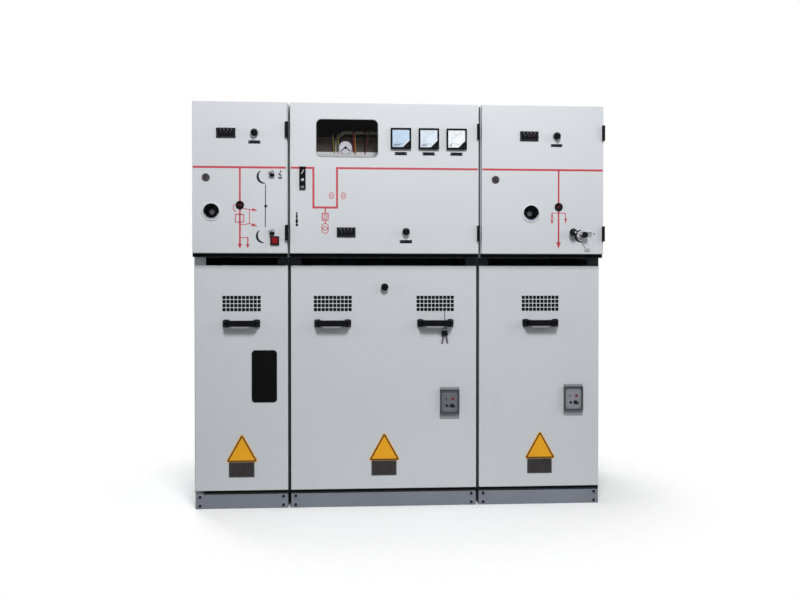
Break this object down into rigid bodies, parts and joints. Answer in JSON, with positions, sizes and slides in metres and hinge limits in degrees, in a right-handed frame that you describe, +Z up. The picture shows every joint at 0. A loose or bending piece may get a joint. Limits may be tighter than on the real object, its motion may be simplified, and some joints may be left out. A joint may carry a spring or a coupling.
{
  "type": "air-insulated ring main unit",
  "caption": "Row of sheet-steel switchgear cubicles on a channel plinth, with hinged instrument doors above, lift-off cable doors below, panel meters, a window and operating sockets.",
  "frame": {"origin": "on the floor, in the middle of the footprint", "axes": "+X to the right seen from the front, +Y from the front to the rear, +Z up"},
  "size_m": [1.622, 0.9394, 1.6],
  "materials": {
    "enclosure_paint": "satin powder coat",
    "plinth_paint": "satin",
    "zinc_plated_steel": "zinc plated",
    "black_painted_steel": "satin",
    "white_plastic": "matte",
    "black_plastic": "matte",
    "red_plastic": "gloss",
    "rubber_seal": "matte",
    "insulated_wire": "matte",
    "grey_conduit": "matte",
    "clear_glazing": "clear"
  },
  "bodies": {
    "cabinet": {"left_side_wall": "enclosure_paint", "left_partition_walls": "enclosure_paint", "right_partition_walls": "enclosure_paint", "right_side_wall": "enclosure_paint", "rear_walls": "enclosure_paint", "roofs": "enclosure_paint", "hook_posts": "enclosure_paint", "floor_plates": "enclosure_paint", "left_plinth": "plinth_paint", "centre_plinth": "plinth_paint", "right_plinth": "plinth_paint", "left_instrument_box": "enclosure_paint", "centre_instrument_box": "enclosure_paint", "right_instrument_box": "enclosure_paint", "seam_gaskets": "rubber_seal", "hinge_pins": "black_painted_steel", "operating_shafts": "zinc_plated_steel", "metering_shelf": "enclosure_paint", "metering_dial": "white_plastic", "wiring_loom": "insulated_wire", "wiring_conduit": "grey_conduit"},
    "left_upper_door": {"left_instrument_door": "enclosure_paint", "left_hinge_knuckles": "black_painted_steel", "left_display": "black_plastic", "left_bezels": "zinc_plated_steel", "left_lock": "zinc_plated_steel", "left_position_indicator": "black_plastic", "push_button_frame": "black_plastic", "padlock_tabs": "zinc_plated_steel"},
    "centre_upper_door": {"centre_instrument_door": "enclosure_paint", "centre_hinge_knuckles": "black_painted_steel", "centre_window_glass": "clear_glazing", "panel_meters": "black_plastic", "centre_display": "black_plastic", "centre_selector_bezel": "zinc_plated_steel", "centre_plate_lock": "black_plastic"},
    "right_upper_door": {"right_instrument_door": "enclosure_paint", "right_hinge_knuckles": "black_painted_steel", "right_display": "black_plastic", "right_bezels": "zinc_plated_steel", "right_lock": "zinc_plated_steel", "right_position_indicator": "black_plastic"},
    "left_lower_door": {"left_cable_door": "enclosure_paint", "left_door_handle": "black_plastic", "left_inspection_glass": "clear_glazing"},
    "centre_lower_door": {"centre_cable_door": "enclosure_paint", "centre_door_handles": "black_plastic", "centre_door_knob": "black_plastic", "centre_interlock": "black_plastic", "door_keys": "zinc_plated_steel"},
    "right_lower_door": {"right_cable_door": "enclosure_paint", "right_door_handle": "black_plastic", "right_interlock": "black_plastic"},
    "left_selector": {"left_selector_knob": "black_plastic"},
    "centre_selector": {"centre_selector_knob": "black_plastic"},
    "right_selector": {"right_selector_knob": "black_plastic"},
    "button": {"push_button": "red_plastic"},
    "lever": {"ball_lever": "black_painted_steel"}
  },
  "joints": [
    {"name": "left_upper_door_hinge", "type": "hinge", "parent": "cabinet", "child": "left_upper_door", "pos_m": [-0.445, -0.43725, 1.286], "axis": [0, 0, 1], "range_deg": [0, 110]},
    {"name": "centre_upper_door_hinge", "type": "hinge", "parent": "cabinet", "child": "centre_upper_door", "pos_m": [0.305, -0.43725, 1.286], "axis": [0, 0, 1], "range_deg": [0, 110]},
    {"name": "right_upper_door_hinge", "type": "hinge", "parent": "cabinet", "child": "right_upper_door", "pos_m": [0.805, -0.43725, 1.286], "axis": [0, 0, 1], "range_deg": [0, 110]},
    {"name": "left_lower_door_lift", "type": "slide", "parent": "cabinet", "child": "left_lower_door", "axis": [0, 0, 1], "range_m": [0, 0.028]},
    {"name": "centre_lower_door_lift", "type": "slide", "parent": "cabinet", "child": "centre_lower_door", "axis": [0, 0, 1], "range_m": [0, 0.028]},
    {"name": "right_lower_door_lift", "type": "slide", "parent": "cabinet", "child": "right_lower_door", "axis": [0, 0, 1], "range_m": [0, 0.028]},
    {"name": "left_selector_turn", "type": "hinge", "parent": "left_upper_door", "child": "left_selector", "pos_m": [-0.568, -0.44025, 1.471], "axis": [0, 1, 0], "range_deg": [0, 90]},
    {"name": "centre_selector_turn", "type": "hinge", "parent": "centre_upper_door", "child": "centre_selector", "pos_m": [0.0195, -0.44025, 1.091], "axis": [0, 1, 0], "range_deg": [0, 90]},
    {"name": "right_selector_turn", "type": "hinge", "parent": "right_upper_door", "child": "right_selector", "pos_m": [0.6175, -0.44025, 1.471], "axis": [0, 1, 0], "range_deg": [0, 90]},
    {"name": "button_press", "type": "slide", "parent": "left_upper_door", "child": "button", "axis": [0, 1, 0], "range_m": [0, 0.004], "stiffness_N_per_m": 400},
    {"name": "lever_swing", "type": "hinge", "parent": "right_upper_door", "child": "lever", "pos_m": [0.7255, -0.45425, 1.081], "axis": [0, -1, 0], "range_deg": [0, 90]}
  ]
}
